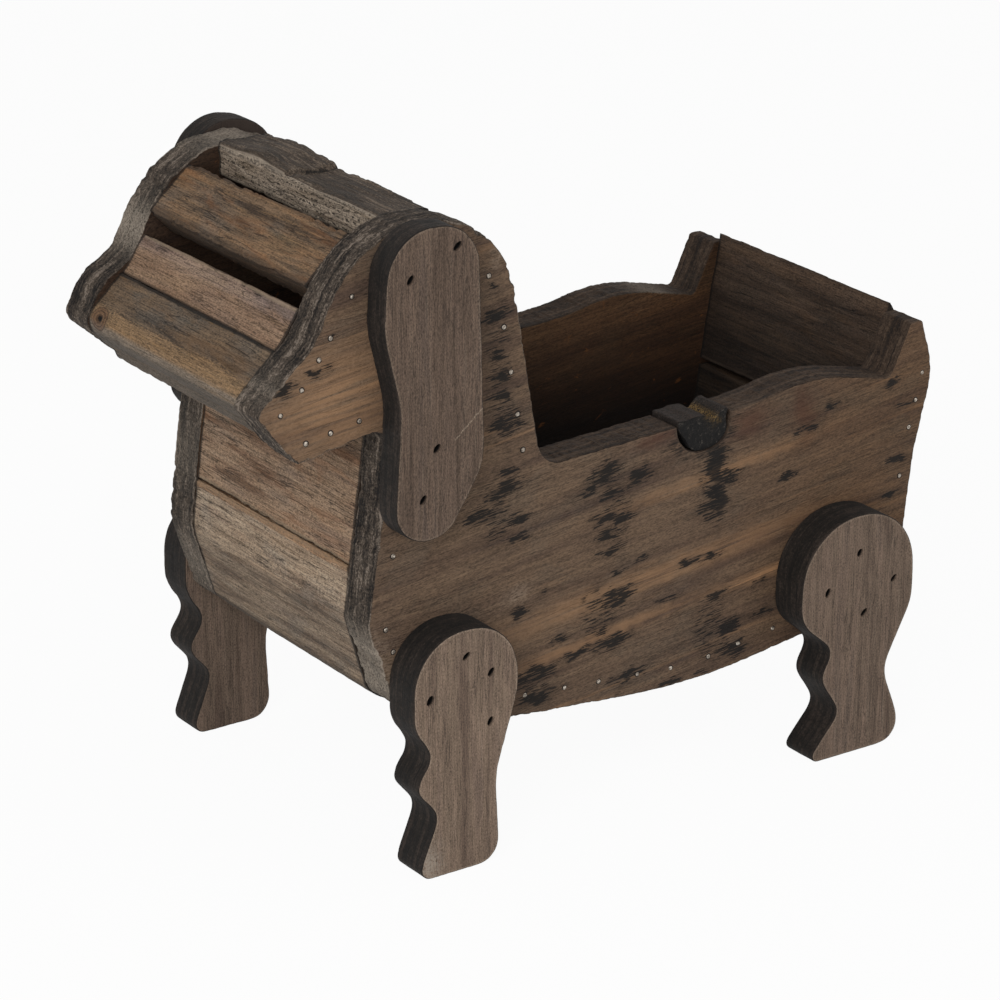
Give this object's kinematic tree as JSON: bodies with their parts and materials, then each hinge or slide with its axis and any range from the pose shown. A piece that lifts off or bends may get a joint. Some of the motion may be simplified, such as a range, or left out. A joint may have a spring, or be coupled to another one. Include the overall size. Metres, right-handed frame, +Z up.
{
  "type": "dog-shaped wooden planter",
  "caption": "Rustic planter in the shape of a standing dog: sawn side boards with slats nailed between them form an open box for plants, with nailed-on legs and ears.",
  "frame": {"origin": "on the ground, in the middle of the part's length and width", "axes": "+Z up, -X the way the dog looks, -Y the dog's left side"},
  "size_m": [0.3694, 0.21, 0.3001],
  "materials": {
    "side_board_wood": "weathered, rough-sawn edges",
    "limb_wood": "weathered, planed faces",
    "muzzle_wood": "weathered",
    "crown_wood": "weathered, rough-sawn",
    "chest_wood": "weathered",
    "inner_wood": "dark, weathered",
    "knot_wood": "dark end grain, cracked",
    "nail_steel": "dull zinc heads",
    "brad_steel": "dull, sunk below the face"
  },
  "bodies": {
    "root": {"back_of_head_slat": "crown_wood", "bottom_board_1": "inner_wood", "bottom_board_2": "inner_wood", "bottom_board_3": "inner_wood", "bottom_board_4": "inner_wood", "bottom_board_5": "inner_wood", "bottom_board_6": "inner_wood", "bridge_slat": "muzzle_wood", "brow_slat": "muzzle_wood", "chin_slat": "muzzle_wood", "collar_slat": "crown_wood", "crown_slat": "crown_wood", "left_body_nails": "nail_steel", "left_ear": "limb_wood", "left_ear_brads": "brad_steel", "left_front_leg": "limb_wood", "left_front_leg_brads": "brad_steel", "left_head_nails": "nail_steel", "left_rear_leg": "limb_wood", "left_rear_leg_brads": "brad_steel", "left_rim_knot": "knot_wood", "left_side_board": "side_board_wood", "lower_chest_slat": "chest_wood", "nape_slat": "crown_wood", "nose_slat": "muzzle_wood", "rear_board": "inner_wood", "right_body_nails": "nail_steel", "right_ear": "limb_wood", "right_ear_brads": "brad_steel", "right_front_leg": "limb_wood", "right_front_leg_brads": "brad_steel", "right_head_nails": "nail_steel", "right_rear_leg": "limb_wood", "right_rear_leg_brads": "brad_steel", "right_side_board": "side_board_wood", "tail_board": "inner_wood", "upper_chest_slat": "chest_wood"}
  },
  "joints": []
}
